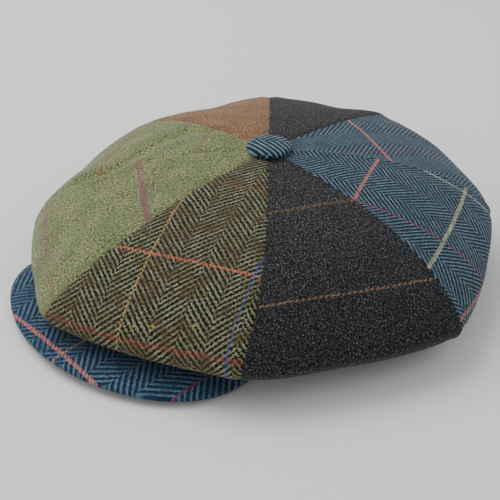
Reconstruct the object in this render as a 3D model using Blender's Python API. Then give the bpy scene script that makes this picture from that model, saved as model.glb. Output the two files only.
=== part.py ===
"""Eight-panel patchwork cap with a covered button and a peak, hollow, in metres.

The origin is the middle of the head opening, level with the lower rim of the head band. The front faces -Y,
the wearer's left is +X and +Z is up. A turn is an angle round the button, in degrees, from the front towards
the wearer's left.
"""

from collections import namedtuple
from math import asin, atan2, cos, degrees, exp, floor, hypot, pi, radians, sin, sqrt

import bmesh
import bpy
from mathutils import Vector

# Driving sizes
HEAD_WIDTH = 0.164  # inside the band, ear to ear
HEAD_LENGTH = 0.200  # inside the band, brow to nape
BAND_WALL = 0.0025
BAND_HEIGHT = 0.026
CROWN_HEIGHT = 0.076  # top of the cloth above the band's lower rim
CROWN_OVERHANG = 0.060  # how far the fullest part of the crown stands out from the band, on average
CROWN_CLOTH = 0.002
BUTTON_SETBACK = 0.018  # the button lies this far behind the middle of the head opening
BUTTON_DIAMETER = 0.0285
BUTTON_HEIGHT = 0.005
BUTTON_EDGE = 0.0022  # height of the button's rounded side
SHANK_DIAMETER = 0.0044
SHANK_LENGTH = 0.005
PEAK_LENGTH = 0.0565  # out from the band at the middle of the front
PEAK_THICKNESS = 0.004
PEAK_HALF_ANGLE = 56  # from the middle of the front to a tip, round the head opening
SEAM_SINK = 0.0006  # the cloth turns in by this much at a seam
SEAM_ROLL = 0.003  # and comes back out over this width
PIECE_GAP = 0.0003  # between neighbouring pieces
BUTTON_GAP = 0.0003  # between the crown and the button
PEAK_GAP = 0.0006  # least height between the peak and the crown's lower fold

# Each seam: its turn, how far its fullest point stands out from the band as a share of CROWN_OVERHANG, the
# heights of the fullest line and of the lower fold as shares of CROWN_HEIGHT, and how many degrees the seam
# swings round on its way down.
Seam = namedtuple("Seam", "turn overhang fullest fold swing")
SEAMS = (
    Seam(0, 0.81, 0.316, 0.197, -5.0),
    Seam(45, 1.04, 0.362, 0.197, -4.6),
    Seam(90, 1.33, 0.355, 0.171, -2.0),
    Seam(135, 1.02, 0.487, 0.158, -2.5),
    Seam(180, 0.87, 0.540, 0.145, 8.0),
    Seam(225, 1.08, 0.400, 0.132, 0.8),
    Seam(270, 0.99, 0.340, 0.132, -0.3),
    Seam(315, 0.83, 0.300, 0.158, 0.0),
)
PANEL_TURN = 360 / len(SEAMS)

# Soft creases and hollows in the crown, each a trough between two places. A place is a turn and a distance
# from the button as a share of the crown's reach there. Width and depth are shares of CROWN_OVERHANG.
Fold = namedtuple("Fold", "from_turn from_share to_turn to_share width depth")
FOLDS = (
    Fold(280, 0.40, 308, 0.56, 0.12, 0.040),
    Fold(308, 0.56, 318, 0.80, 0.12, 0.030),
    Fold(288, 0.80, 298, 0.97, 0.20, 0.040),
    Fold(342, 0.97, 336, 0.86, 0.14, 0.045),
    Fold(20, 0.93, 33, 0.97, 0.16, 0.025),
    Fold(66, 0.90, 58, 1.00, 0.18, 0.030),
    Fold(112, 0.92, 118, 0.80, 0.18, 0.030),
    Fold(152, 0.96, 160, 0.80, 0.20, 0.035),
    Fold(205, 0.97, 198, 0.82, 0.20, 0.035),
    Fold(250, 0.95, 246, 0.78, 0.20, 0.035),
)

# Shape of a seam from the button to the band
NOSE_POWER = 0.87  # below 1 widens the crown near the button
DROP_POWER = 1.3  # above 1 flattens the top and steepens the side
PLAN_ROUNDNESS = 0.57  # 0 gives straight sides between seams, 1 gives arcs
FOLD_TUCK = 0.10  # the lower fold lies this share of the reach inside the fullest line
BAND_LIP_SHARE = 0.85  # height on the band where the panels end, as a share of BAND_HEIGHT

# Shape of the peak
PEAK_FULLNESS = 6.1  # higher keeps the front edge full further round
PEAK_TAPER = 2.0
PEAK_ROOT_SHARE = 0.35  # heights of the middle of the peak, as shares of the height free under the crown
PEAK_CREST_SHARE = 1.35
PEAK_EDGE_SHARE = 0.66
PEAK_DROOP_SHARE = 0.44  # how much lower the sides of the edge are than its middle
PEAK_WING = 0.95  # share of the taper's whole angle where the peak is cut off against the band
PEAK_LIP_SHARE = 0.6  # thickness of the edge, as a share of PEAK_THICKNESS

# Shape of the button, as shares of its radius
BUTTON_SEAT_SHARE = 0.93
DOME_SHARES = (0.97, 0.87, 0.70, 0.48, 0.25)

# Mesh counts
TOP_STEPS = 12
SIDE_STEPS = 5
UNDER_STEPS = 4
ACROSS = (0.0, 0.02, 0.08, 0.18, 0.30, 0.43, 0.57, 0.70, 0.82, 0.92, 0.98, 1.0)  # shares of a panel's width
BAND_SIDES = 64
PEAK_COLUMNS = 26
PEAK_ROWS = 7
BUTTON_SIDES = 28
EDGE_ANGLE = 50  # faces that meet more sharply than this keep a crisp edge

# Panel names, colour and roughness, in the order of the seams that each one starts at
OLIVE, CHARCOAL = (0.115, 0.098, 0.055), (0.040, 0.038, 0.036)
BLUE, BROWN, GREEN = (0.075, 0.125, 0.190), (0.235, 0.150, 0.095), (0.185, 0.205, 0.110)
Panel = namedtuple("Panel", "name colour")
PANELS = (
    Panel("panel_front_left", OLIVE),
    Panel("panel_side_left_front", CHARCOAL),
    Panel("panel_side_left_back", BLUE),
    Panel("panel_back_left", BLUE),
    Panel("panel_back_right", CHARCOAL),
    Panel("panel_side_right_back", BROWN),
    Panel("panel_side_right_front", GREEN),
    Panel("panel_front_right", GREEN),
)
CLOTH_ROUGHNESS = 0.95
BAND_COLOUR = (0.05, 0.05, 0.055)

BAND_HALF_WIDTH = HEAD_WIDTH / 2 + BAND_WALL
BAND_HALF_LENGTH = HEAD_LENGTH / 2 + BAND_WALL
TIP_RADIUS = SHANK_DIAMETER / 2 + PIECE_GAP  # the panels leave a hole for the button's shank

# A panel's lip is straight between its columns, so it stands off the curved band by the height of that arc.
LIP_STRAIGHT = radians(PANEL_TURN) * max(b - a for a, b in zip(ACROSS, ACROSS[1:]))
LIP_STRAIGHT *= BAND_HALF_LENGTH + BUTTON_SETBACK
TIGHTEST_BAND_RADIUS = min(BAND_HALF_WIDTH, BAND_HALF_LENGTH) ** 2 / max(BAND_HALF_WIDTH, BAND_HALF_LENGTH)
LIP_GAP = PIECE_GAP + LIP_STRAIGHT**2 / (8 * TIGHTEST_BAND_RADIUS)


def clear_scene():
    for thing in list(bpy.data.objects):
        bpy.data.objects.remove(thing, do_unlink=True)


def cloth_material(name, colour):
    material = bpy.data.materials.new(name)
    material.use_nodes = True
    shader = material.node_tree.nodes["Principled BSDF"]
    shader.inputs["Base Color"].default_value = (*colour, 1)
    shader.inputs["Roughness"].default_value = CLOTH_ROUGHNESS
    shader.inputs["Metallic"].default_value = 0
    return material


def object_from(name, points, faces, colour, place=(0, 0, 0)):
    """A smooth shaded object from points and faces, with its faces turned outwards."""
    mesh = bpy.data.meshes.new(name)
    mesh.from_pydata([tuple(point) for point in points], [], faces)
    shape = bmesh.new()
    shape.from_mesh(mesh)
    bmesh.ops.recalc_face_normals(shape, faces=shape.faces)
    shape.to_mesh(mesh)
    shape.free()
    mesh.shade_smooth()
    mesh.set_sharp_from_angle(angle=radians(EDGE_ANGLE))
    mesh.materials.append(cloth_material(name, colour))
    thing = bpy.data.objects.new(name, mesh)
    thing.location = place
    bpy.context.scene.collection.objects.link(thing)
    return thing


def oval(half_width, half_length, height, sides):
    """Points of a level oval, from the wearer's left round to the back."""
    angles = [2 * pi * side / sides for side in range(sides)]
    return [(half_width * cos(angle), half_length * sin(angle), height) for angle in angles]


def ring_faces(first, second, sides):
    """Quads between two rings of points, given where each ring starts in the list."""
    return [
        (first + side, first + (side + 1) % sides, second + (side + 1) % sides, second + side)
        for side in range(sides)
    ]


def skin_faces(rows, columns, start=0):
    """Quads of a grid of points stored row by row."""
    def at(row, column):
        return start + row * columns + column

    return [
        (at(row, column), at(row, column + 1), at(row + 1, column + 1), at(row + 1, column))
        for row in range(rows - 1)
        for column in range(columns - 1)
    ]


def walled_grid(outer, inner, rows, columns):
    """Points and faces of a closed wall between two grids that share their layout."""
    count = rows * columns
    border = [(0, column) for column in range(columns)]
    border += [(row, columns - 1) for row in range(1, rows)]
    border += [(rows - 1, column) for column in range(columns - 2, -1, -1)]
    border += [(row, 0) for row in range(rows - 2, 0, -1)]
    faces = skin_faces(rows, columns)
    faces += [tuple(reversed(face)) for face in skin_faces(rows, columns, count)]
    for (row, column), (next_row, next_column) in zip(border, border[1:] + border[:1]):
        here, there = row * columns + column, next_row * columns + next_column
        faces.append((here, here + count, there + count, there))
    return outer + inner, faces


# Crown


def between_seams(column, turn):
    """A seam column's value at any turn, eased from seam to seam."""
    place = (turn / PANEL_TURN) % len(SEAMS)
    first = floor(place)
    share = (1 - cos(pi * (place - first))) / 2
    low = getattr(SEAMS[first], column)
    high = getattr(SEAMS[(first + 1) % len(SEAMS)], column)
    return low + (high - low) * share


def band_radius(turn, clearance=0.0):
    """Distance from the button's axis to the band's outer face, at a turn."""
    across, forward = sin(radians(turn)), -cos(radians(turn))
    half_width, half_length = BAND_HALF_WIDTH + clearance, BAND_HALF_LENGTH + clearance
    a = (across / half_width) ** 2 + (forward / half_length) ** 2
    b = BUTTON_SETBACK * forward / half_length**2
    c = (BUTTON_SETBACK / half_length) ** 2 - 1
    return (-b + sqrt(b * b - a * c)) / a


def crown_reach(turn):
    """Distance from the button's axis to the crown's fullest line: flattish between the seams."""
    place = (turn / PANEL_TURN) % len(SEAMS)
    first = floor(place)
    share = place - first
    reaches = []
    for index in (first, (first + 1) % len(SEAMS)):
        seam = SEAMS[index]
        reaches.append(band_radius(seam.turn) + CROWN_OVERHANG * seam.overhang)
    low, high = reaches
    whole = radians(PANEL_TURN)
    chord = low * high * sin(whole) / (low * sin(share * whole) + high * sin((1 - share) * whole))
    arc = low + (high - low) * share
    return chord + (arc - chord) * PLAN_ROUNDNESS


def smooth_point(turn, share):
    """The crown's outside at a turn and at a share of the way from button to band, without seams or folds."""
    reach = crown_reach(turn)
    fullest = between_seams("fullest", turn) * CROWN_HEIGHT
    fold = between_seams("fold", turn) * CROWN_HEIGHT
    fold_radius = reach * (1 - FOLD_TUCK)
    top_end = TOP_STEPS / (TOP_STEPS + SIDE_STEPS + UNDER_STEPS)
    side_end = (TOP_STEPS + SIDE_STEPS) / (TOP_STEPS + SIDE_STEPS + UNDER_STEPS)
    way_down = min(share / top_end, 1)
    swung = between_seams("swing", turn) * way_down**3 * (4 - 3 * way_down)
    if share <= top_end:
        angle = share / top_end * pi / 2
        radius = TIP_RADIUS + (reach - TIP_RADIUS) * sin(angle) ** NOSE_POWER
        height = CROWN_HEIGHT - (CROWN_HEIGHT - fullest) * (1 - cos(angle) ** DROP_POWER)
    elif share <= side_end:
        angle = (share - top_end) / (side_end - top_end) * pi / 2
        radius = reach - (reach - fold_radius) * (1 - cos(angle))
        height = fullest - (fullest - fold) * sin(angle)
    else:
        step = (share - side_end) / (1 - side_end)
        lip = band_radius(turn + swung, LIP_GAP)
        radius = fold_radius + (lip - fold_radius) * step
        height = fold + (BAND_HEIGHT * BAND_LIP_SHARE - fold) * step * step * (3 - 2 * step)
    bearing = radians(turn + swung)
    return Vector((radius * sin(bearing), BUTTON_SETBACK - radius * cos(bearing), height))


def outward(turn, share):
    """Unit vector out of the smooth crown."""
    turn_step, share_step = 0.4, 0.004
    low, high = max(share - share_step, 0.002), min(share + share_step, 1)
    down = smooth_point(turn, high) - smooth_point(turn, low)
    round_ = smooth_point(turn + turn_step, share) - smooth_point(turn - turn_step, share)
    return down.cross(round_).normalized()


def flat_place(turn, share):
    """A place on the crown laid flat, for measuring how far it is from a fold."""
    return Vector((share * sin(radians(turn)), share * cos(radians(turn))))


def fold_depth(point):
    """How deep the soft folds press into the cloth at a point of the smooth crown."""
    offset = Vector((point.x, BUTTON_SETBACK - point.y))
    turn = degrees(atan2(offset.x, offset.y)) % 360
    reach = crown_reach(turn)
    here = flat_place(turn, offset.length / reach)
    depth = 0.0
    for fold in FOLDS:
        start = flat_place(fold.from_turn, fold.from_share)
        run = flat_place(fold.to_turn, fold.to_share) - start
        along = max(0, min(1, (here - start).dot(run) / run.length_squared))
        miss = (here - start - run * along).length * reach / (fold.width * CROWN_OVERHANG)
        depth += fold.depth * CROWN_OVERHANG * exp(-miss * miss)
    return depth


def panel_point(index, share, across):
    """Outer and inner point of a panel, across it from 0 at its first seam to 1 at its second."""
    low, high = index * PANEL_TURN, (index + 1) * PANEL_TURN
    middle = smooth_point((low + high) / 2, share)
    radius = hypot(middle.x, middle.y - BUTTON_SETBACK)
    clearance = degrees(asin(PIECE_GAP / 2 / max(radius, TIP_RADIUS)))
    low, high = low + clearance, high - clearance
    turn = low + (high - low) * across
    point = smooth_point(turn, share)
    normal = outward(turn, share)
    seam_distance = radians(high - low) * min(across, 1 - across) * radius
    sink = SEAM_SINK * exp(-seam_distance / SEAM_ROLL) * min(1, radius / BUTTON_DIAMETER)
    lip_fade = min(1, (1 - share) * (TOP_STEPS + SIDE_STEPS + UNDER_STEPS) / UNDER_STEPS)
    sink += fold_depth(point) * lip_fade
    outer = point - normal * sink
    return outer, outer - normal * CROWN_CLOTH


def make_panel(index):
    panel = PANELS[index]
    steps = TOP_STEPS + SIDE_STEPS + UNDER_STEPS
    pairs = [panel_point(index, step / steps, across) for step in range(steps + 1) for across in ACROSS]
    outer, inner = [list(side) for side in zip(*pairs)]
    points, faces = walled_grid(outer, inner, steps + 1, len(ACROSS))
    return object_from(panel.name, points, faces, panel.colour)


# Head band


def make_band():
    """An oval ring whose lower rim is the flat face that the cap rests on."""
    points = []
    for wall, height in ((0, 0), (BAND_WALL, 0), (BAND_WALL, BAND_HEIGHT), (0, BAND_HEIGHT)):
        points += oval(HEAD_WIDTH / 2 + wall, HEAD_LENGTH / 2 + wall, height, BAND_SIDES)
    faces = []
    for ring in range(4):
        faces += ring_faces(ring * BAND_SIDES, (ring + 1) % 4 * BAND_SIDES, BAND_SIDES)
    return object_from("head_band", points, faces, BAND_COLOUR)


# Peak


def band_edge(angle, clearance):
    """A point on the band's outer face, at an angle round the middle of the head opening from the front."""
    across, forward = sin(radians(angle)), cos(radians(angle))
    half_width, half_length = BAND_HALF_WIDTH + clearance, BAND_HALF_LENGTH + clearance
    radius = 1 / hypot(across / half_width, forward / half_length)
    return Vector((radius * across, -radius * forward, 0))


def peak_point(angle, out):
    """The middle of the peak's thickness, from 0 at the band to 1 at the edge."""
    lowest = min(seam.fold for seam in SEAMS if cos(radians(seam.turn)) > 0.5)
    room = lowest * CROWN_HEIGHT - PEAK_GAP - PEAK_THICKNESS / 2
    root = band_edge(angle, PIECE_GAP)
    part = abs(angle) / PEAK_HALF_ANGLE * PEAK_WING
    length = PEAK_LENGTH * (1 - part**PEAK_FULLNESS) ** PEAK_TAPER
    place = root + root.normalized() * length * out
    arch = PEAK_ROOT_SHARE * (1 - out) ** 2 + 2 * PEAK_CREST_SHARE * out * (1 - out) + PEAK_EDGE_SHARE * out**2
    droop = PEAK_DROOP_SHARE * out * (abs(angle) / PEAK_HALF_ANGLE) ** 2
    place.z = room * (arch - droop)
    return place


def make_peak():
    """The peak's two faces, with an edge that thins to a rounded lip."""
    upper, lower = [], []
    for row in range(PEAK_ROWS):
        out = row / (PEAK_ROWS - 1)
        for column in range(PEAK_COLUMNS):
            angle = PEAK_HALF_ANGLE * (2 * column / (PEAK_COLUMNS - 1) - 1)
            place = peak_point(angle, out)
            half = PEAK_THICKNESS / 2 * (1 if row < PEAK_ROWS - 1 else PEAK_LIP_SHARE)
            upper.append(place + Vector((0, 0, half)))
            lower.append(place - Vector((0, 0, half)))
    points, faces = walled_grid(upper, lower, PEAK_ROWS, PEAK_COLUMNS)
    return object_from("peak", points, faces, BLUE)


# Button


def make_button():
    """A covered button: a domed disc with a rounded side, over a short shank, as one turned solid."""
    radius = BUTTON_DIAMETER / 2
    seat = CROWN_HEIGHT + BUTTON_GAP
    side = seat + BUTTON_EDGE
    profile = [(SHANK_DIAMETER / 2, seat - SHANK_LENGTH), (SHANK_DIAMETER / 2, seat)]
    profile += [(radius * BUTTON_SEAT_SHARE, seat), (radius, (seat + side) / 2)]
    for share in DOME_SHARES:
        rise = (BUTTON_HEIGHT - BUTTON_EDGE) * sqrt(1 - (share / DOME_SHARES[0]) ** 2)
        profile.append((radius * share, side + rise))
    points = []
    for distance, height in profile:
        points += oval(distance, distance, height, BUTTON_SIDES)
    faces = []
    for ring in range(len(profile) - 1):
        faces += ring_faces(ring * BUTTON_SIDES, (ring + 1) * BUTTON_SIDES, BUTTON_SIDES)
    foot, last = len(points), len(points) - BUTTON_SIDES
    points += [(0, 0, seat - SHANK_LENGTH), (0, 0, seat + BUTTON_HEIGHT)]
    for corner in range(BUTTON_SIDES):
        after = (corner + 1) % BUTTON_SIDES
        faces.append((foot, after, corner))
        faces.append((foot + 1, last + corner, last + after))
    return object_from("crown_button", points, faces, BLUE, (0, BUTTON_SETBACK, 0))


clear_scene()
for panel_index in range(len(PANELS)):
    make_panel(panel_index)
make_band()
make_peak()
make_button()
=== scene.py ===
"""Looks of an eight-panel patchwork tweed cap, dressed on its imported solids, in metres.

The front faces -Y, the wearer's left is +X and +Z is up. A turn is an angle round the button, in degrees,
from the front towards the wearer's left. Each cloth has its own flat coordinates, in metres as it was cut:
U across the piece and V along the grain, which on a panel runs from the button to the band.
"""

from collections import namedtuple
from math import atan2, cos, hypot, pi, radians, sin, sqrt, tau

import bpy
import numpy as np
from mathutils import Matrix, Vector, noise
from mathutils.kdtree import KDTree


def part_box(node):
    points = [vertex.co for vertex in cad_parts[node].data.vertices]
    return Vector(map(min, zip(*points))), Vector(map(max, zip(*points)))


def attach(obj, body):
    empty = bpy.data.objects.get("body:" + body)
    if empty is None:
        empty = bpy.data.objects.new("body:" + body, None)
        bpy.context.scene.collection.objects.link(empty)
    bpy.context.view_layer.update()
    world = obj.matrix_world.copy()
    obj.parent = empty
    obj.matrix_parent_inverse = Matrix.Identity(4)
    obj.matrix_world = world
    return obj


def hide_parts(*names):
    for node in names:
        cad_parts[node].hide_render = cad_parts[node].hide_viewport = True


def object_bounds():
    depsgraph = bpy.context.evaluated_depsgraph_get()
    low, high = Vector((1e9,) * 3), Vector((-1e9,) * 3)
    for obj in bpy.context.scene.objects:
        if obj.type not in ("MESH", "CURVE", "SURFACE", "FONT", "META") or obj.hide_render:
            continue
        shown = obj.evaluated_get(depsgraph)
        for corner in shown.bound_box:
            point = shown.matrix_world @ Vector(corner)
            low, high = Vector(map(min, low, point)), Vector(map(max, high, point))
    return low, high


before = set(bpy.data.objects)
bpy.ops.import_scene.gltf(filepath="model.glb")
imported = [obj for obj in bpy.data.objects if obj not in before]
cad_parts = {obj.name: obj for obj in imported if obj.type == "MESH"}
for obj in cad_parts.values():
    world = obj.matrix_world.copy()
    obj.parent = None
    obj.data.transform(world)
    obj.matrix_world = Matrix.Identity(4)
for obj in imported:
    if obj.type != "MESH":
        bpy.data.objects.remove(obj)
solid_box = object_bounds()

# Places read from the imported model
BUTTON_LOW, BUTTON_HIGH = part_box("crown_button")
BAND_LOW, BAND_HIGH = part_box("head_band")
AXIS = (BUTTON_LOW + BUTTON_HIGH) / 2  # the button's upright axis
BUTTON_RADIUS = (BUTTON_HIGH.x - BUTTON_LOW.x) / 2
BAND_HALF_WIDTH = (BAND_HIGH.x - BAND_LOW.x) / 2
BAND_HALF_LENGTH = (BAND_HIGH.y - BAND_LOW.y) / 2
BODY = "root"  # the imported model's only body

# Mesh work
MERGE = 0.00001
QUAD_ANGLE = radians(60)
SKIN_CORNER = radians(45)  # a skin ends where its faces turn by more than this
LOOKS_UP = 0.5  # a face looks up where its normal's upward share is more than this
SKIN_LEVELS = 3
CLOTH_THICKNESS = 0.0016
UNWRAP_ROUNDS = 60
EDGE_SAMPLES = 4  # points on each boundary edge when distances to a seam are measured
LIP_REACH = 1.05  # a skin's lip lies within this share of the head band's half sizes

# How the sewn cloth lies. Each depth is measured out from the smooth solid.
SEAM_REACH = radians(16)  # a panel's rim is a seam where it lies this far round from the panel's middle
SEAM_START = 0.004  # the seams begin this far from the button's axis
SEAM_DEPTH = 0.0006
SEAM_WIDTH = 0.0014
SEAM_CLOSE = 0.00026  # each cloth's rim leans this far towards its neighbour's
SEAM_CLOSE_WIDTH = 0.0010
ALLOWANCE_RISE = 0.0003  # the turned edges under the cloth lift it beside the seam
ALLOWANCE_PLACE = 0.006
ALLOWANCE_WIDTH = 0.0040
PUCKER_DEPTH = 0.00022
PUCKER_SPACING = 0.012
PUCKER_FADE = 0.008
WAVE_DEPTH = 0.0009
WAVE_SPACING = 0.060
RIPPLE_DEPTH = 0.00022
RIPPLE_SPACING = 0.024

# A crease pressed into the green side panel, as turns and distances from the button's axis along it, with the
# cloth swelling on both sides
CREASE = ((276, 0.050), (280, 0.065), (295, 0.073), (306, 0.084), (315, 0.101), (314, 0.120))
CREASE_DEPTH = 0.0011
CREASE_WIDTH = 0.0036
SWELL_RISE = 0.0007
SWELL_PLACE = 0.0085
SWELL_WIDTH = 0.0050
LOWEST_CREASE = 0.030  # the crown's underside lies below this height

# The wool's surface
SHEEN_ROUGHNESS = 0.45
SHEEN_TINT = (1.0, 1.0, 1.0, 1.0)
WOOL_GLOSS = 0.15
TWILL_ROUGHNESS = 0.92
TWEED_ROUGHNESS = 0.95
COARSE_RELIEF = 0.0005
BRUSHED_RELIEF = 0.0003

# Peak
PEAK_RIM_CREASE = 0.7
PEAK_LEVELS = 3
PEAK_GRAIN_TURN = -3.3

# The covered button, from under its rim to near its middle: shares of its radius, and heights over its seat
BUTTON_START = (0.35, 0.0004)
BUTTON_PROFILE = (
    (0.62, 0.0002), (0.86, 0.0003), (0.965, 0.0008), (1.0, 0.0017), (0.992, 0.0025), (0.95, 0.0034),
    (0.85, 0.0041), (0.66, 0.0046), (0.40, 0.0049), (0.17, 0.0050),
)
BUTTON_DOME = 0.005  # height of the button over its seat
BUTTON_GAP = 0.0003  # between the crown and the button's seat
BUTTON_SIDES = 56
BUTTON_LEVELS = 2
BUTTON_GRAIN_TURN = -50

# Band
BAND_SIDES = 160
BAND_WALL = 0.0025
BAND_ROUND = 0.0010
BAND_ROUND_STEPS = 3
BAND_CORNER = radians(40)  # the band's edges are rounded where its faces turn by more than this

# The photograph's view of the cap
PHOTO_SIDE = 500
FOCAL_PIXELS = 1280
BUTTON_PIXEL = (269, 150)
VIEW_TURN = 46.2
VIEW_HEIGHT = 33.0
VIEW_DISTANCE = 0.80
SENSOR = 36.0

# Floor and surroundings
FLOOR_SIZE = 40
FLOOR_DROP = 0.0002  # the floor lies this far below the solids
FLOOR_COLOUR = (0.90, 0.89, 0.87, 1)
FLOOR_ROUGHNESS = 0.8
WORLD_COLOUR = (0.97, 0.98, 1.0, 1.0)
WORLD_STRENGTH = 0.50

# Soft square lights: turn and height round the cap in degrees, distance, width and power in watts
Light = namedtuple("Light", "name turn height distance size power")
LIGHTS = (
    Light("key_light", -80, 61, 1.6, 1.3, 17),
    Light("fill_light", 120, 45, 1.8, 1.4, 6),
    Light("front_light", 15, 20, 1.8, 0.8, 3),
    Light("low_light", -60, 26, 1.8, 1.4, 8.5),
)
LIGHT_AIM = Vector((0, 0, 0.04))


# Operators


def select_only(piece):
    bpy.ops.object.select_all(action="DESELECT")
    piece.select_set(True)
    bpy.context.view_layer.objects.active = piece


def open_faces(piece, chosen):
    """Edit mode on a piece, with the faces selected for which chosen is true."""
    select_only(piece)
    bpy.ops.object.mode_set(mode="EDIT")
    bpy.ops.mesh.select_mode(type="FACE")
    bpy.ops.mesh.select_all(action="DESELECT")
    bpy.ops.object.mode_set(mode="OBJECT")
    for face in piece.data.polygons:
        face.select = chosen(face)
    bpy.ops.object.mode_set(mode="EDIT")


def close_faces():
    bpy.ops.object.mode_set(mode="OBJECT")


def modify(piece, kind, **settings):
    """Adds a modifier and applies it."""
    select_only(piece)
    modifier = piece.modifiers.new(kind.lower(), kind)
    for name, value in settings.items():
        setattr(modifier, name, value)
    bpy.ops.object.modifier_apply(modifier=modifier.name)


def subdivide_smoothly(piece, levels):
    modify(
        piece,
        "SUBSURF",
        levels=levels,
        render_levels=levels,
        boundary_smooth="PRESERVE_CORNERS",
        uv_smooth="PRESERVE_BOUNDARIES",
    )


def finish_piece(piece, material, node):
    """Dresses a piece, and has it stand for a solid and ride with it."""
    piece.data.materials.clear()
    piece.data.materials.append(material)
    select_only(piece)
    bpy.ops.object.shade_smooth()
    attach(piece, BODY)
    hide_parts(node)
    return piece


def copied_solid(name, node):
    """A new object with a copy of a solid's mesh, its triangles joined into quads."""
    piece = bpy.data.objects.new(name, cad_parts[node].data.copy())
    piece.data.name = name
    bpy.context.scene.collection.objects.link(piece)
    select_only(piece)
    bpy.ops.mesh.customdata_custom_splitnormals_clear()
    open_faces(piece, lambda face: True)
    bpy.ops.mesh.remove_doubles(threshold=MERGE)
    bpy.ops.mesh.tris_convert_to_quads(face_threshold=QUAD_ANGLE, shape_threshold=QUAD_ANGLE)
    close_faces()
    return piece


# Shader expressions


def linear(red, green, blue):
    """A colour as it looks on a screen, from 0 to 255, as Blender's linear colour."""
    channels = []
    for level in (red, green, blue):
        share = level / 255
        channels.append(share / 12.92 if share <= 0.04045 else ((share + 0.055) / 1.055) ** 2.4)
    return (*channels, 1.0)


class Value:
    """A number that changes over a surface. Arithmetic on it adds Math nodes."""

    def __init__(self, cloth, socket):
        self.cloth = cloth
        self.socket = socket

    def math(self, operation, *others):
        return self.cloth.math(operation, self, *others)

    def __add__(self, other):
        return self.math("ADD", other)

    def __radd__(self, other):
        return self.math("ADD", other)

    def __sub__(self, other):
        return self.math("SUBTRACT", other)

    def __rsub__(self, other):
        return self.cloth.math("SUBTRACT", other, self)

    def __mul__(self, other):
        return self.math("MULTIPLY", other)

    def __rmul__(self, other):
        return self.math("MULTIPLY", other)

    def __truediv__(self, other):
        return self.math("DIVIDE", other)

    def __abs__(self):
        return self.math("ABSOLUTE")


class Cloth:
    """A cloth's material, with the flat coordinates of the piece that wears it."""

    def __init__(self, name):
        self.material = bpy.data.materials.new(name)
        self.material.use_nodes = True
        self.tree = self.material.node_tree
        self.shader = self.tree.nodes["Principled BSDF"]
        place = self.node("ShaderNodeUVMap", {"uv_map": "cloth"}).outputs["UV"]
        parts = self.node("ShaderNodeSeparateXYZ", {}, {"Vector": place})
        self.u = Value(self, parts.outputs["X"])
        self.v = Value(self, parts.outputs["Y"])

    def node(self, kind, settings=None, inputs=None):
        """Any node, from its type, its settings and the values or links of its sockets."""
        made = self.tree.nodes.new(kind)
        for name, value in (settings or {}).items():
            setattr(made, name, value)
        for name, value in (inputs or {}).items():
            self.feed(made.inputs[name], value)
        return made

    def feed(self, socket, value):
        if isinstance(value, Value):
            value = value.socket
        if isinstance(value, bpy.types.NodeSocket):
            self.tree.links.new(value, socket)
        else:
            socket.default_value = value

    def math(self, operation, *values):
        made = self.node("ShaderNodeMath", {"operation": operation}, dict(enumerate(values)))
        return Value(self, made.outputs["Value"])

    def mix(self, share, first, second):
        """A colour between two."""
        made = self.node("ShaderNodeMix", {"data_type": "RGBA"}, {0: share, 6: first, 7: second})
        return made.outputs[2]

    def step(self, value, low, high):
        """0 below low and 1 above high, with a smooth rise between."""
        settings = {"interpolation_type": "SMOOTHSTEP"}
        made = self.node("ShaderNodeMapRange", settings, {"Value": value, "From Min": low, "From Max": high})
        return Value(self, made.outputs["Result"])

    def cloudy(self, u, v, seed, detail=2.0):
        """Noise from 0 to 1, with one patch for each unit of u and v."""
        place = self.node("ShaderNodeCombineXYZ", {}, {"X": u, "Y": v, "Z": seed}).outputs["Vector"]
        made = self.node("ShaderNodeTexNoise", {}, {"Vector": place, "Scale": 1.0, "Detail": detail})
        return Value(self, made.outputs["Fac"])

    def finish(self, colour, height, depth, roughness, sheen):
        """Wires the colour and the relief, and sets the wool's roughness and sheen."""
        self.feed(self.shader.inputs["Base Color"], colour)
        self.feed(self.shader.inputs["Roughness"], roughness)
        bump = self.node("ShaderNodeBump", {}, {"Strength": 1.0, "Distance": depth, "Height": height})
        self.feed(self.shader.inputs["Normal"], bump.outputs["Normal"])
        self.shader.inputs["Sheen Weight"].default_value = sheen
        self.shader.inputs["Sheen Roughness"].default_value = SHEEN_ROUGHNESS
        self.shader.inputs["Sheen Tint"].default_value = SHEEN_TINT
        self.shader.inputs["Specular IOR Level"].default_value = WOOL_GLOSS
        return self.material


# Cloths. A number that multiplies a flat coordinate inside cloudy is how many patches of noise lie in a metre
# of the cloth.

RIB_WAVER = 0.8  # how far a herringbone's ribs stray, in pitches
BEAD_LENGTH = 1.5  # of one stitch along a rib, in pitches
TWILL_DASH = 0.9  # from dash to dash of a coloured yarn on a herringbone, in pitches
TWEED_DASH = 0.0034  # and on the other tweeds
YARN_WOBBLE = 0.0012  # how far a coloured yarn strays from its line
YARN_CORE = 0.30  # a coloured yarn is whole to this share of its width from its middle
YARN_EDGE = 0.62  # and gone at this one
FLECK_CORE = 0.0004
FLECK_EDGE = 0.0014
FLECK_SQUEEZE = 0.7  # across the cloth

# A coloured yarn woven into a cloth: along V at a place across it, or across it at a place along V. It is
# broken by the other yarns that pass over it, from 0 for a whole line to 1 for short dashes.
Yarn = namedtuple("Yarn", "way place width colour strength broken")
ALONG, ACROSS = "along", "across"

ORANGE = linear(208, 108, 80)
RUST = linear(132, 58, 48)
CREAM = linear(204, 164, 98)
BLUE_YARN = linear(66, 78, 150)
PINK = linear(200, 118, 108)
MAGENTA = linear(128, 46, 88)
STRAW = linear(186, 182, 142)
PALE = linear(214, 216, 208)
YELLOW = linear(176, 160, 66)
UMBER = linear(176, 132, 98)


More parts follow.
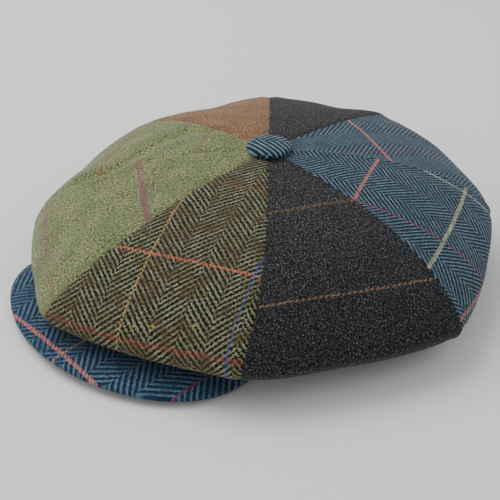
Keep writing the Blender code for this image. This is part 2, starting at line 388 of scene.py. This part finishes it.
def with_yarns(cloth, colour, yarns, dash):
    """The colour with coloured yarns, which show in dashes where they pass over the others."""
    for index, yarn in enumerate(yarns):
        across, along = (cloth.u, cloth.v) if yarn.way == ALONG else (cloth.v, cloth.u)
        wobble = (cloth.cloudy(along * 60, 0.0, 3.1 + index) - 0.5) * YARN_WOBBLE
        miss = abs(across - yarn.place + wobble)
        line = 1 - cloth.step(miss, yarn.width * YARN_CORE, yarn.width * YARN_EDGE)
        beat = ((along + across) * (tau / dash)).math("SINE") * 0.5 + 0.5
        patchy = cloth.cloudy(along * 170, across * 700, 8.7 + index) * 1.4
        over = cloth.step(beat * 0.6 + patchy, 0.75, 1.15)
        shown = line * (over * yarn.broken + (1 - yarn.broken)) * yarn.strength
        colour = cloth.mix(shown, colour, yarn.colour)
    return colour


# A herringbone's make and colours: the distance from rib to rib, the width of its bands, the dark yarn
# between the ribs, the ribs' light yarn, the shade that drifts through both, the tint of single stitches in
# the ribs, the share that the ribs cover, how strongly each rib is beaded, how fuzzy its yarn is, how much
# the shade shows and how strong its sheen is
Weave = namedtuple("Weave", "pitch column dark light shade tint cover beads fuzz drift sheen")


def herringbone(name, weave, start=0.0, yarns=(), flecks=()):
    """Herringbone twill: bands of slanting ribs that turn at each column, moved across the cloth by start."""
    cloth = Cloth(name)
    pitch, column = weave.pitch, weave.column
    u, v = cloth.u + start, cloth.v
    waver = (cloth.cloudy(u * 45, v * 45, 1.7) - 0.5) * (pitch * RIB_WAVER)
    leg = u.math("PINGPONG", column)
    other = (u / column).math("FLOOR").math("MODULO", 2.0)
    ribs = (v + leg + waver) / (pitch * sqrt(2)) + other * 0.5
    wave = (ribs * tau).math("COSINE") * 0.5 + 0.5
    stitches = (v - leg) / (pitch * BEAD_LENGTH) + ribs.math("FLOOR") * 0.37
    bead = (stitches * tau).math("COSINE") * 0.5 + 0.5
    fibres = cloth.cloudy(u * 850, v * 850, 5.0, 3.0) - 0.5
    height = wave * (1 - weave.beads * 0.5) + bead * (weave.beads * 0.5) + fibres * weave.fuzz
    lit = cloth.step(height, 0.78 - weave.cover, 1.22 - weave.cover)
    each_yarn = cloth.cloudy(stitches.math("FLOOR") * 0.71, ribs.math("FLOOR") * 0.83, 9.0)
    patch = cloth.cloudy(u * 130, v * 130, 2.4, 3.0)
    shaded = cloth.step(patch, 0.38, 0.68) * weave.drift
    tinted = cloth.cloudy(stitches.math("FLOOR") * 0.93, ribs.math("FLOOR") * 0.57, 14.0)
    light_yarn = cloth.mix(cloth.step(tinted, 0.50, 0.64) * 0.8, weave.light, weave.tint)
    light_now = cloth.mix(shaded, light_yarn, weave.shade)
    dark_now = cloth.mix(shaded * 0.35, weave.dark, weave.shade)
    colour = cloth.mix(lit * (cloth.step(each_yarn, 0.30, 0.62) * 0.45 + 0.55), dark_now, light_now)
    colour = with_yarns(cloth, colour, yarns, pitch * TWILL_DASH)
    for fleck_u, fleck_v in flecks:
        miss = abs(cloth.u - fleck_u) * FLECK_SQUEEZE + abs(cloth.v - fleck_v)
        colour = cloth.mix((1 - cloth.step(miss, FLECK_CORE, FLECK_EDGE)) * 0.8, colour, YELLOW)
    return cloth.finish(colour, height, COARSE_RELIEF, TWILL_ROUGHNESS, weave.sheen)


# A soft tweed's colours: its dark and light wool, two tints that show in streaks and in faint patches, and
# how strong its sheen is
Wool = namedtuple("Wool", "dark light streak patch sheen")


def fuzzy_tweed(name, wool, yarns=()):
    """A soft brushed twill of mixed wool: short slanting streaks and faint patches of other colours."""
    cloth = Cloth(name)
    u, v = cloth.u, cloth.v
    slant, cross = (u + v) / sqrt(2), (u - v) / sqrt(2)
    streaks = cloth.cloudy(slant * 520, cross * 1300, 4.0, 3.0)
    crossing = cloth.cloudy(slant * 1000, cross * 620, 7.0, 3.0)
    fibres = streaks * 0.60 + crossing * 0.40
    mottled = (cloth.cloudy(u * 60, v * 60, 17.0) - 0.5) * 0.11
    colour = cloth.mix(cloth.step(fibres + mottled, 0.38, 0.64), wool.dark, wool.light)
    streaked = cloth.step(cloth.cloudy(slant * 130, cross * 420, 11.0, 3.0), 0.58, 0.80)
    colour = cloth.mix(streaked * 0.35, colour, wool.streak)
    patched = cloth.step(cloth.cloudy(u * 55, v * 55, 13.0, 3.0), 0.44, 0.72)
    colour = cloth.mix(patched * 0.50, colour, wool.patch)
    colour = with_yarns(cloth, colour, yarns, TWEED_DASH)
    return cloth.finish(colour, fibres, BRUSHED_RELIEF, TWEED_ROUGHNESS, wool.sheen)


def salt_and_pepper(name, wool, yarns=()):
    """Dark plain-woven tweed with light fibres lying every way; towards the band they are dimmed, as painted
    shade.
    """
    cloth = Cloth(name)
    u, v = cloth.u, cloth.v
    slant, cross = (u + v) / sqrt(2), (u - v) / sqrt(2)
    one_way = cloth.cloudy(slant * 720, cross * 2000, 4.0, 3.0)
    other_way = cloth.cloudy(slant * 2000, cross * 720, 6.0, 3.0)
    grain = one_way.math("MAXIMUM", other_way)
    ground = cloth.mix(cloth.cloudy(u * 420, v * 420, 9.0, 3.0), wool.dark, wool.streak)
    patched = cloth.step(cloth.cloudy(u * 50, v * 50, 13.0, 3.0), 0.45, 0.75)
    speck = cloth.mix(patched * 0.6, wool.light, wool.patch)
    # painted shade: fewer light fibres show towards the band, darkening the crown's lower part where it turns
    # away from the light
    shown = 0.73 - cloth.step(v, 0.07, 0.17) * 0.22
    colour = cloth.mix(cloth.step(grain, 0.55, 0.74) * shown, ground, speck)
    colour = with_yarns(cloth, colour, yarns, TWEED_DASH)
    return cloth.finish(colour, grain, COARSE_RELIEF, TWEED_ROUGHNESS, wool.sheen)


OLIVE_WEAVE = Weave(
    pitch=0.0029, column=0.0168,
    dark=linear(21, 20, 15), light=linear(146, 148, 122), shade=linear(100, 84, 60),
    tint=linear(112, 126, 66), cover=0.45, beads=0.50, fuzz=2.3, drift=0.8, sheen=0.06)
BLUE_WEAVE = Weave(
    pitch=0.0026, column=0.0165,
    dark=linear(6, 18, 34), light=linear(108, 138, 156), shade=linear(52, 80, 102), tint=linear(84, 126, 122),
    cover=0.37, beads=0.25, fuzz=1.7, drift=0.5, sheen=0.16)
# painted sheen: the same blue cloth with a lighter dark yarn and a greyer light yarn, standing in for the
# haze of light grazing the far back panel
BACK_WEAVE_PAINTED_SHEEN = BLUE_WEAVE._replace(dark=linear(28, 46, 62), light=linear(108, 130, 144))
PEAK_WEAVE = Weave(
    pitch=0.0034, column=0.0158,
    dark=linear(22, 39, 60), light=linear(96, 126, 148), shade=linear(46, 78, 112), tint=linear(74, 124, 128),
    cover=0.40, beads=0.30, fuzz=1.7, drift=0.6, sheen=0.14)
BUTTON_WEAVE = BLUE_WEAVE._replace(
    pitch=0.0031, light=linear(118, 150, 168), tint=linear(108, 146, 160), fuzz=0.4)
GREEN_WOOL = Wool(
    dark=linear(50, 66, 34), light=linear(158, 162, 114), streak=linear(126, 90, 70),
    patch=linear(96, 104, 78), sheen=0.16)
BROWN_WOOL = Wool(
    dark=linear(76, 50, 30), light=linear(170, 130, 90), streak=linear(150, 80, 44),
    patch=linear(104, 80, 60), sheen=0.16)
CHARCOAL_WOOL = Wool(
    dark=linear(11, 12, 15), light=linear(170, 170, 166), streak=linear(27, 29, 33),
    patch=linear(138, 128, 102), sheen=0.10)
BAND_WOOL = Wool(
    dark=linear(20, 20, 22), light=linear(60, 58, 56), streak=linear(30, 30, 32),
    patch=linear(44, 42, 40), sheen=0.05)


def olive_cloth():
    yarns = (
        Yarn(ACROSS, 0.1109, 0.0018, ORANGE, 0.85, 0.9),
        Yarn(ACROSS, 0.1645, 0.0034, RUST, 0.50, 0.6),
        Yarn(ACROSS, 0.0440, 0.0026, RUST, 0.5, 0.7),
        Yarn(ALONG, 0.0290, 0.0015, CREAM, 0.6, 1.0),
        Yarn(ALONG, -0.0352, 0.0016, BLUE_YARN, 0.7, 0.9),
    )
    flecks = ((-0.013, 0.149), (0.021, 0.156), (0.010, 0.154))
    return herringbone("olive_herringbone", OLIVE_WEAVE, 0.0223, yarns, flecks)


def peak_cloth():
    yarns = (
        Yarn(ACROSS, -0.1697, 0.0026, PINK, 0.95, 0.8),
        Yarn(ALONG, 0.0850, 0.0018, MAGENTA, 0.8, 0.7),
        Yarn(ALONG, 0.0142, 0.0018, CREAM, 0.5, 0.9),
    )
    return herringbone("peak_herringbone", PEAK_WEAVE, 0.0103, yarns)


# Panels


def keep_outer_skin(piece):
    """Leaves only the outer face of a panel's wall, reached from its largest face that looks up."""
    upward = [face for face in piece.data.polygons if face.normal.z > LOOKS_UP]
    first = max(upward, key=lambda face: face.area).index
    open_faces(piece, lambda face: face.index == first)
    bpy.ops.mesh.faces_select_linked_flat(sharpness=SKIN_CORNER)
    bpy.ops.mesh.select_all(action="INVERT")
    bpy.ops.mesh.delete(type="FACE")
    close_faces()


def corner_places(mesh):
    """The flat coordinates of each face corner and the vertex that it belongs to."""
    layer = mesh.uv_layers["cloth"].uv
    places = np.zeros(len(layer) * 2)
    layer.foreach_get("vector", places)
    vertices = np.zeros(len(mesh.loops), int)
    mesh.loops.foreach_get("vertex_index", vertices)
    return places.reshape(-1, 2), vertices


def points_of(mesh):
    points = np.zeros(len(mesh.vertices) * 3)
    mesh.vertices.foreach_get("co", points)
    return points.reshape(-1, 3)


def flat_area(mesh, places):
    total = 0.0
    for face in mesh.polygons:
        corners = places[list(face.loop_indices)]
        after = np.roll(corners, -1, axis=0)
        total += np.sum(corners[:, 0] * after[:, 1] - after[:, 0] * corners[:, 1]) / 2
    return abs(total)


def on_band(points):
    """Which points lie against the head band."""
    far = np.hypot(points[:, 0] / BAND_HALF_WIDTH, points[:, 1] / BAND_HALF_LENGTH)
    return (points[:, 2] < BAND_HIGH.z) & (far < LIP_REACH)


def lay_flat(piece, grain_turn):
    """Unwraps a panel's skin as the cloth was cut: in metres, from the button at V 0 down the middle.

    The grain is turned by an angle from the panel's middle line.
    """
    piece.data.uv_layers.new(name="cloth")
    open_faces(piece, lambda face: True)
    bpy.ops.uv.unwrap(method="MINIMUM_STRETCH", iterations=UNWRAP_ROUNDS)
    close_faces()
    mesh = piece.data
    places, vertices = corner_places(mesh)
    points = points_of(mesh)
    real_area = sum(face.area for face in mesh.polygons)
    places *= sqrt(real_area / flat_area(mesh, places))
    reach = np.hypot(points[:, 0] - AXIS.x, points[:, 1] - AXIS.y)[vertices]
    tip = places[reach < SEAM_START].mean(axis=0)
    grain = places[on_band(points[vertices])].mean(axis=0) - tip
    turn = atan2(grain[0], grain[1]) + radians(grain_turn)
    across = np.array((cos(turn), -sin(turn)))
    along = np.array((sin(turn), cos(turn)))
    laid = np.stack(((places - tip) @ across, (places - tip) @ along), axis=1)
    mesh.uv_layers["cloth"].uv.foreach_set("vector", laid.astype(np.float32).ravel())


def seam_points(piece, middle_turn):
    """Closely spaced points along a skin's two seams."""
    mesh = piece.data
    uses = {}
    for face in mesh.polygons:
        for key in face.edge_keys:
            uses[key] = uses.get(key, 0) + 1
    found = []
    for (first, second), count in uses.items():
        start, end = mesh.vertices[first].co, mesh.vertices[second].co
        offset = (start + end) / 2 - AXIS
        turn = atan2(offset.x, -offset.y) - radians(middle_turn)
        from_middle = abs((turn + pi) % tau - pi)
        if count == 1 and from_middle > SEAM_REACH and hypot(offset.x, offset.y) > SEAM_START:
            found += [start.lerp(end, step / EDGE_SAMPLES) for step in range(EDGE_SAMPLES)]
    return found


def lie_of_cloth(point, seam_point, seam_distance):
    """How far the sewn cloth stands out from the smooth skin at a point."""
    rise = -SEAM_DEPTH * np.exp(-seam_distance / SEAM_WIDTH)
    beside = (seam_distance - ALLOWANCE_PLACE) / ALLOWANCE_WIDTH
    rise += ALLOWANCE_RISE * np.exp(-beside * beside)
    pucker = noise.noise(seam_point / PUCKER_SPACING)
    away = 1 - np.exp(-seam_distance / SEAM_WIDTH)
    rise += PUCKER_DEPTH * pucker * away * np.exp(-seam_distance / PUCKER_FADE)
    rise += WAVE_DEPTH * noise.noise(point / WAVE_SPACING)
    rise += RIPPLE_DEPTH * noise.noise(point / RIPPLE_SPACING)
    return rise


def crease_rise(points):
    """How far the crease and its swelling move the cloth at each point."""
    places = [(AXIS.x + reach * sin(radians(turn)), AXIS.y - reach * cos(radians(turn)))
              for turn, reach in CREASE]
    nearest = np.full(len(points), np.inf)
    for start, end in zip(np.array(places), np.array(places[1:])):
        run = end - start
        offset = points[:, :2] - start
        share = np.clip(offset @ run / (run @ run), 0, 1)
        miss = offset - share[:, None] * run
        nearest = np.minimum(nearest, np.hypot(miss[:, 0], miss[:, 1]))
    beside = (nearest - SWELL_PLACE) / SWELL_WIDTH
    rise = SWELL_RISE * np.exp(-beside * beside) - CREASE_DEPTH * np.exp(-(nearest / CREASE_WIDTH) ** 2)
    return rise * (points[:, 2] > LOWEST_CREASE)


def shape_cloth(piece, middle_turn):
    """Moves a skin's points to where the sewn cloth lies."""
    seams = seam_points(piece, middle_turn)
    tree = KDTree(len(seams))
    for index, place in enumerate(seams):
        tree.insert(place, index)
    tree.balance()
    mesh = piece.data
    points = points_of(mesh)
    normals = np.zeros(len(points) * 3)
    mesh.vertex_normals.foreach_get("vector", normals)
    normals = normals.reshape(-1, 3)
    rises = np.zeros(len(points))
    leans = np.zeros(len(points))
    for index, place in enumerate(points):
        nearest, _, distance = tree.find(place)
        rises[index] = lie_of_cloth(Vector(place), nearest, distance)
        leans[index] = SEAM_CLOSE * np.exp(-distance / SEAM_CLOSE_WIDTH)
    rises += crease_rise(points)
    turns = np.arctan2(points[:, 0] - AXIS.x, AXIS.y - points[:, 1])
    side = np.sign((turns - radians(middle_turn) + pi) % tau - pi)
    sideways = np.stack((np.cos(turns), np.sin(turns), np.zeros(len(points))), axis=1)
    moved = points + normals * rises[:, None] + sideways * (side * leans)[:, None]
    mesh.vertices.foreach_set("co", moved.astype(np.float32).ravel())
    mesh.update()


def make_panel(name, node, middle_turn, grain_turn, material, slot):
    """A gore of the crown: its solid's outer skin, sewn, creased and given the cloth's thickness."""
    piece = copied_solid(name, node)
    keep_outer_skin(piece)
    lay_flat(piece, grain_turn)
    subdivide_smoothly(piece, SKIN_LEVELS)
    shape_cloth(piece, middle_turn)
    modify(piece, "SOLIDIFY", thickness=CLOTH_THICKNESS, offset=-1, use_rim=True)
    return finish_piece(piece, material, node)


Panel = namedtuple("Panel", "name node middle_turn grain_turn cloth slot")


def panels():
    """The gores in their order round the button."""
    blue_side_yarns = (
        Yarn(ACROSS, 0.0624, 0.0024, PINK, 0.85, 0.8),
        Yarn(ACROSS, 0.1205, 0.0026, STRAW, 0.85, 0.85),
        Yarn(ACROSS, 0.1550, 0.0024, PINK, 0.7, 0.8),
        Yarn(ALONG, -0.0303, 0.0016, MAGENTA, 0.9, 0.6),
        Yarn(ALONG, 0.0315, 0.0015, PALE, 0.8, 0.95),
    )
    blue_back_yarns = (
        Yarn(ACROSS, 0.068, 0.0020, PINK, 0.95, 0.5),
        Yarn(ALONG, -0.0195, 0.0016, MAGENTA, 0.7, 0.8),
    )
    charcoal_yarns = (
        Yarn(ACROSS, 0.1287, 0.0017, UMBER, 0.38, 1.0),
        Yarn(ACROSS, 0.062, 0.0030, CREAM, 0.12, 0.9),
    )
    green_front_yarns = (
        Yarn(ACROSS, 0.0795, 0.0042, MAGENTA, 0.6, 0.5),
        Yarn(ACROSS, 0.147, 0.0034, MAGENTA, 0.4, 0.6),
    )
    green_side_yarns = (
        Yarn(ACROSS, 0.1064, 0.0050, RUST, 0.35, 0.4),
        Yarn(ACROSS, 0.0426, 0.0040, RUST, 0.30, 0.4),
    )
    return (
        Panel("olive_panel", "panel_front_left", 22.5, -5, olive_cloth(), "olive_herringbone"),
        Panel("charcoal_side_panel", "panel_side_left_front", 67.5, 0,
              salt_and_pepper("charcoal_side", CHARCOAL_WOOL, charcoal_yarns), "charcoal_tweed"),
        Panel("blue_side_panel", "panel_side_left_back", 112.5, 0,
              herringbone("blue_side_herringbone", BLUE_WEAVE, -0.0025, blue_side_yarns), "blue_herringbone"),
        Panel("blue_back_panel", "panel_back_left", 157.5, 0,
              herringbone("blue_back_herringbone", BACK_WEAVE_PAINTED_SHEEN, 0.009, blue_back_yarns), "blue_herringbone"),
        Panel("charcoal_back_panel", "panel_back_right", 202.5, 0,
              salt_and_pepper("charcoal_back", CHARCOAL_WOOL), "charcoal_tweed"),
        Panel("brown_panel", "panel_side_right_back", 247.5, 0,
              fuzzy_tweed("brown_tweed", BROWN_WOOL), "brown_tweed"),
        Panel("green_side_panel", "panel_side_right_front", 292.5, -9,
              fuzzy_tweed("green_side", GREEN_WOOL, green_side_yarns), "green_tweed"),
        Panel("green_front_panel", "panel_front_right", 337.5, 7,
              fuzzy_tweed("green_front", GREEN_WOOL, green_front_yarns), "green_tweed"),
    )


# Peak, band and button


def plan_places(piece, turn):
    """Lays a cloth on a piece straight down: flat coordinates are its plan, turned by an angle."""
    layer = piece.data.uv_layers.get("cloth") or piece.data.uv_layers.new(name="cloth")
    for loop in piece.data.loops:
        point = piece.data.vertices[loop.vertex_index].co - AXIS
        layer.uv[loop.index].vector = (
            point.x * cos(turn) + point.y * sin(turn),
            -point.x * sin(turn) + point.y * cos(turn),
        )


def make_peak(material):
    """The covered peak, whose rim is creased so that its outline keeps its size when it is smoothed."""
    piece = copied_solid("peak_cover", "peak")
    open_faces(piece, lambda face: False)
    bpy.ops.mesh.select_mode(type="EDGE")
    bpy.ops.mesh.edges_select_sharp(sharpness=SKIN_CORNER)
    bpy.ops.transform.edge_crease(value=PEAK_RIM_CREASE)
    close_faces()
    subdivide_smoothly(piece, PEAK_LEVELS)
    plan_places(piece, radians(PEAK_GRAIN_TURN))
    return finish_piece(piece, material, "peak")


def make_button(material):
    """The covered button: a ring drawn up over a domed form, with the cloth gathered in underneath."""
    seat = BUTTON_HIGH.z - BUTTON_DOME
    radius, level = BUTTON_START
    bpy.ops.object.select_all(action="DESELECT")
    bpy.ops.mesh.primitive_circle_add(
        vertices=BUTTON_SIDES, radius=BUTTON_RADIUS * radius, location=(AXIS.x, AXIS.y, seat + level)
    )
    piece = bpy.context.object
    piece.name = "covered_button"
    bpy.ops.object.mode_set(mode="EDIT")
    bpy.ops.mesh.select_all(action="SELECT")
    for next_radius, next_level in BUTTON_PROFILE:
        move = {"value": (0, 0, next_level - level)}
        bpy.ops.mesh.extrude_edges_move(TRANSFORM_OT_translate=move)
        bpy.ops.transform.resize(value=(next_radius / radius, next_radius / radius, 1),
                                 center_override=(AXIS.x, AXIS.y, seat + next_level))
        radius, level = next_radius, next_level
    bpy.ops.mesh.merge(type="CENTER")
    bpy.ops.mesh.select_all(action="SELECT")
    bpy.ops.mesh.normals_make_consistent(inside=False)
    bpy.ops.object.mode_set(mode="OBJECT")
    bpy.ops.object.transform_apply(location=True, rotation=True, scale=True)
    subdivide_smoothly(piece, BUTTON_LEVELS)
    plan_places(piece, radians(BUTTON_GRAIN_TURN))
    return finish_piece(piece, material, "crown_button")


def make_band(material):
    """The head band: a ring of cloth folded over at both rims."""
    height = BAND_HIGH.z - BAND_LOW.z
    bpy.ops.object.select_all(action="DESELECT")
    bpy.ops.mesh.primitive_cylinder_add(
        vertices=BAND_SIDES, radius=BAND_HALF_WIDTH, depth=height, end_fill_type="NOTHING",
        location=(0, 0, BAND_LOW.z + height / 2)
    )
    piece = bpy.context.object
    piece.name = "head_band_cloth"
    bpy.ops.object.mode_set(mode="EDIT")
    bpy.ops.mesh.select_all(action="SELECT")
    bpy.ops.transform.resize(value=(1, BAND_HALF_LENGTH / BAND_HALF_WIDTH, 1))
    bpy.ops.object.mode_set(mode="OBJECT")
    bpy.ops.object.transform_apply(location=True, rotation=True, scale=True)
    modify(piece, "SOLIDIFY", thickness=BAND_WALL, offset=-1, use_rim=True)
    modify(piece, "BEVEL", width=BAND_ROUND, segments=BAND_ROUND_STEPS, limit_method="ANGLE",
           angle_limit=BAND_CORNER)
    layer = piece.data.uv_layers.get("cloth") or piece.data.uv_layers.new(name="cloth")
    for loop in piece.data.loops:
        point = piece.data.vertices[loop.vertex_index].co
        layer.uv[loop.index].vector = (atan2(point.x, -point.y) * BAND_HALF_LENGTH, point.z)
    return finish_piece(piece, material, "head_band")


# Stage


def make_floor():
    bpy.ops.object.select_all(action="DESELECT")
    bpy.ops.mesh.primitive_plane_add(size=FLOOR_SIZE, location=(0, 0, solid_box[0].z - FLOOR_DROP))
    floor = bpy.context.object
    floor.name = "floor"
    material = bpy.data.materials.new("pale_floor")
    material.use_nodes = True
    shader = material.node_tree.nodes["Principled BSDF"]
    shader.inputs["Base Color"].default_value = FLOOR_COLOUR
    shader.inputs["Roughness"].default_value = FLOOR_ROUGHNESS
    floor.data.materials.append(material)


def make_light(name, turn, height, distance, size, power):
    """A light that faces the cap, and that doesn't show itself to a camera."""
    side, up = radians(turn), radians(height)
    away = Vector((sin(side) * cos(up), -cos(side) * cos(up), sin(up)))
    light = bpy.data.lights.new(name, "AREA")
    light.shape = "SQUARE"
    light.size = size
    light.energy = power
    lamp = bpy.data.objects.new(name, light)
    lamp.location = LIGHT_AIM + away * distance
    lamp.rotation_euler = (-away).to_track_quat("-Z", "Y").to_euler()
    lamp.visible_camera = False
    bpy.context.scene.collection.objects.link(lamp)


def make_world():
    world = bpy.data.worlds.new("soft_surroundings")
    world.use_nodes = True
    background = world.node_tree.nodes["Background"]
    background.inputs["Color"].default_value = WORLD_COLOUR
    background.inputs["Strength"].default_value = WORLD_STRENGTH
    bpy.context.scene.world = world


def make_camera():
    """Sees the cap as the photograph does, with the crown's top on its own pixel."""
    side, up = radians(VIEW_TURN), radians(VIEW_HEIGHT)
    back = Vector((sin(side) * cos(up), -cos(side) * cos(up), sin(up)))
    right = Vector((cos(side), sin(side), 0))
    above = back.cross(right)
    top = Vector((AXIS.x, AXIS.y, BUTTON_HIGH.z - BUTTON_DOME - BUTTON_GAP))
    pixel = VIEW_DISTANCE / FOCAL_PIXELS
    across = (BUTTON_PIXEL[0] - PHOTO_SIDE / 2) * pixel
    upward = (PHOTO_SIDE / 2 - BUTTON_PIXEL[1]) * pixel
    data = bpy.data.cameras.new("camera")
    data.sensor_width = SENSOR
    data.lens = SENSOR * FOCAL_PIXELS / PHOTO_SIDE
    camera = bpy.data.objects.new("camera", data)
    place = top + back * VIEW_DISTANCE - right * across - above * upward
    turned = Matrix((right, above, back)).transposed().to_4x4()
    camera.matrix_world = Matrix.Translation(place) @ turned
    bpy.context.scene.collection.objects.link(camera)
    bpy.context.scene.camera = camera


make_camera()
for panel in panels():
    make_panel(*panel)
make_peak(peak_cloth())
make_band(salt_and_pepper("band_cloth", BAND_WOOL))
make_button(herringbone("button_herringbone", BUTTON_WEAVE, 0.0195))
make_floor()
make_world()
for light in LIGHTS:
    make_light(*light)
